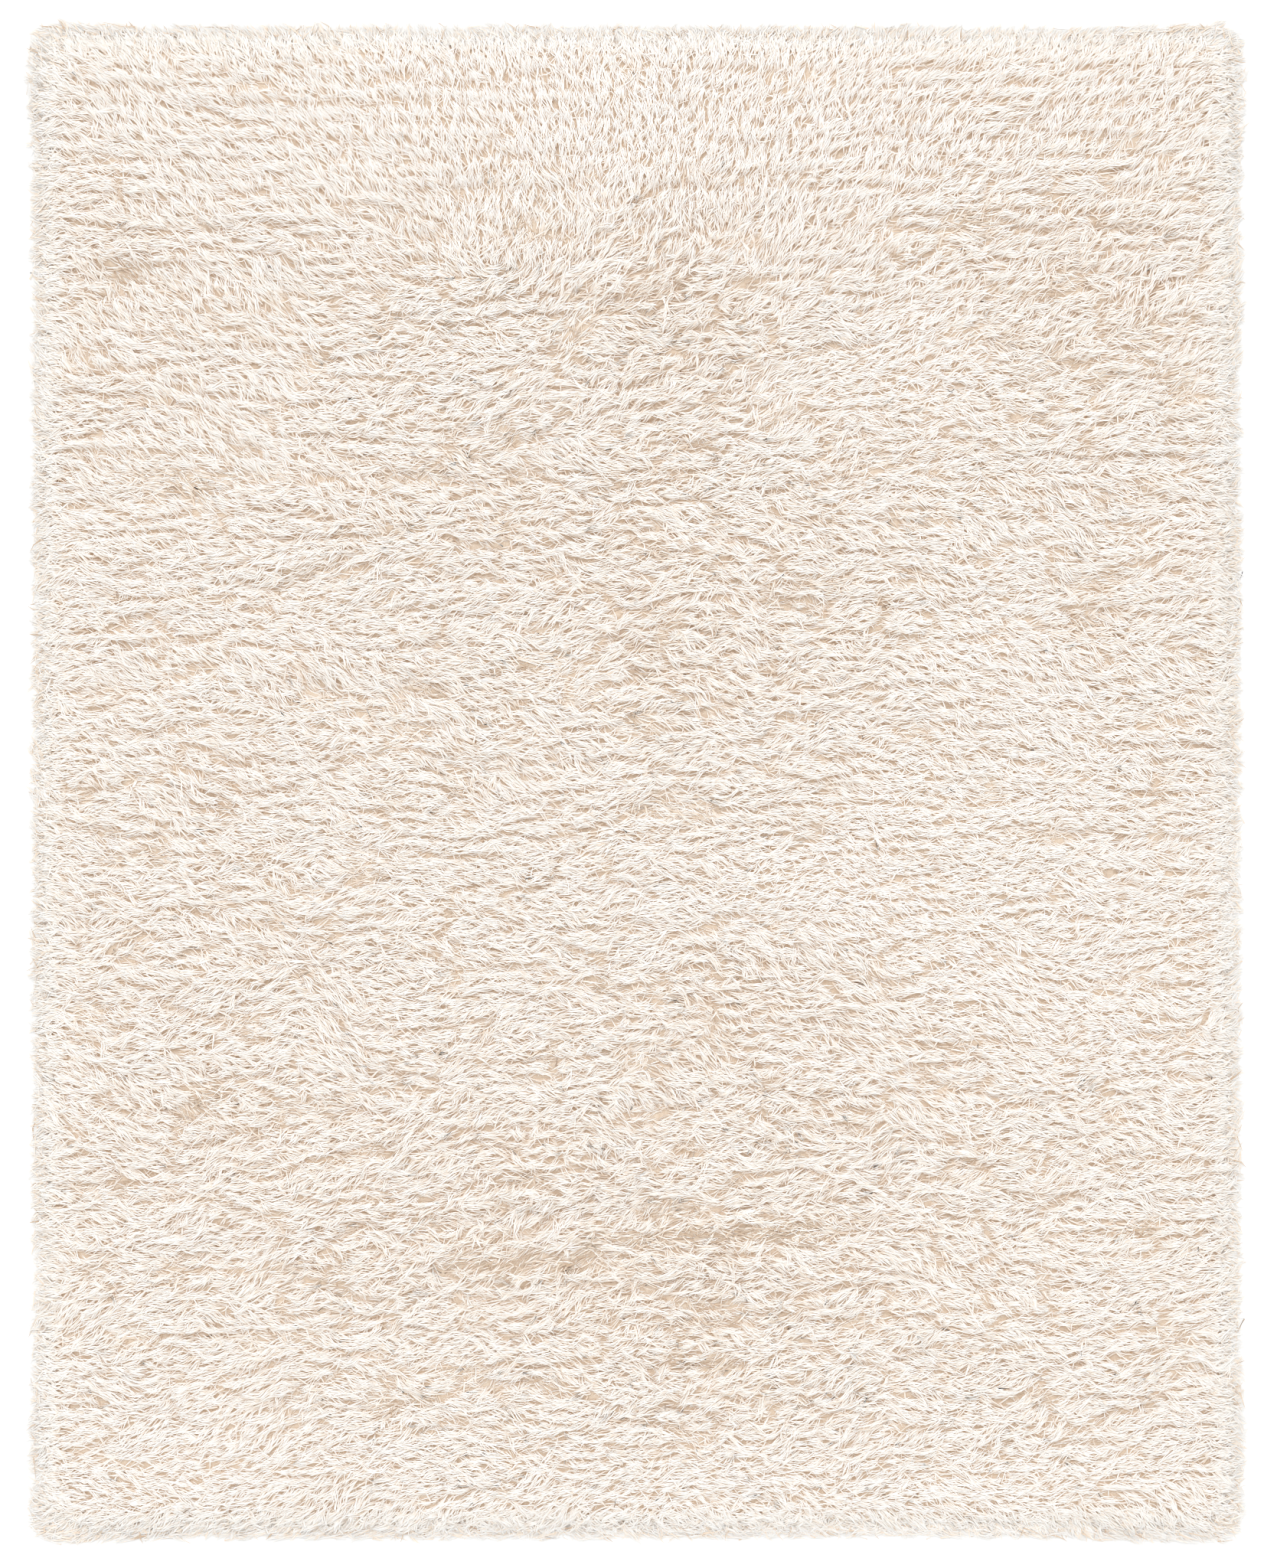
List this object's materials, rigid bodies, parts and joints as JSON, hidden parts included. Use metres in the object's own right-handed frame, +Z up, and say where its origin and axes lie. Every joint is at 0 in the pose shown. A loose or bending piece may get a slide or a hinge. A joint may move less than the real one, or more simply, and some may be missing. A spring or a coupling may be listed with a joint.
{
  "type": "shag rug",
  "caption": "Large rectangular shag rug with long ivory pile that flows in wavy locks, parts into crevices and hangs over its rounded rim.",
  "frame": {"origin": "middle of the rug's underside, on the floor", "axes": "+X across the rug's shorter side, +Y along its longer side towards the picture's upper edge, +Z up out of the pile"},
  "size_m": [2.4624, 3.0642, 0.0572],
  "materials": {
    "ivory_pile": "matt long-pile yarn, warm ivory"
  },
  "bodies": {
    "root": {"shag_rug": "ivory_pile"}
  },
  "joints": []
}
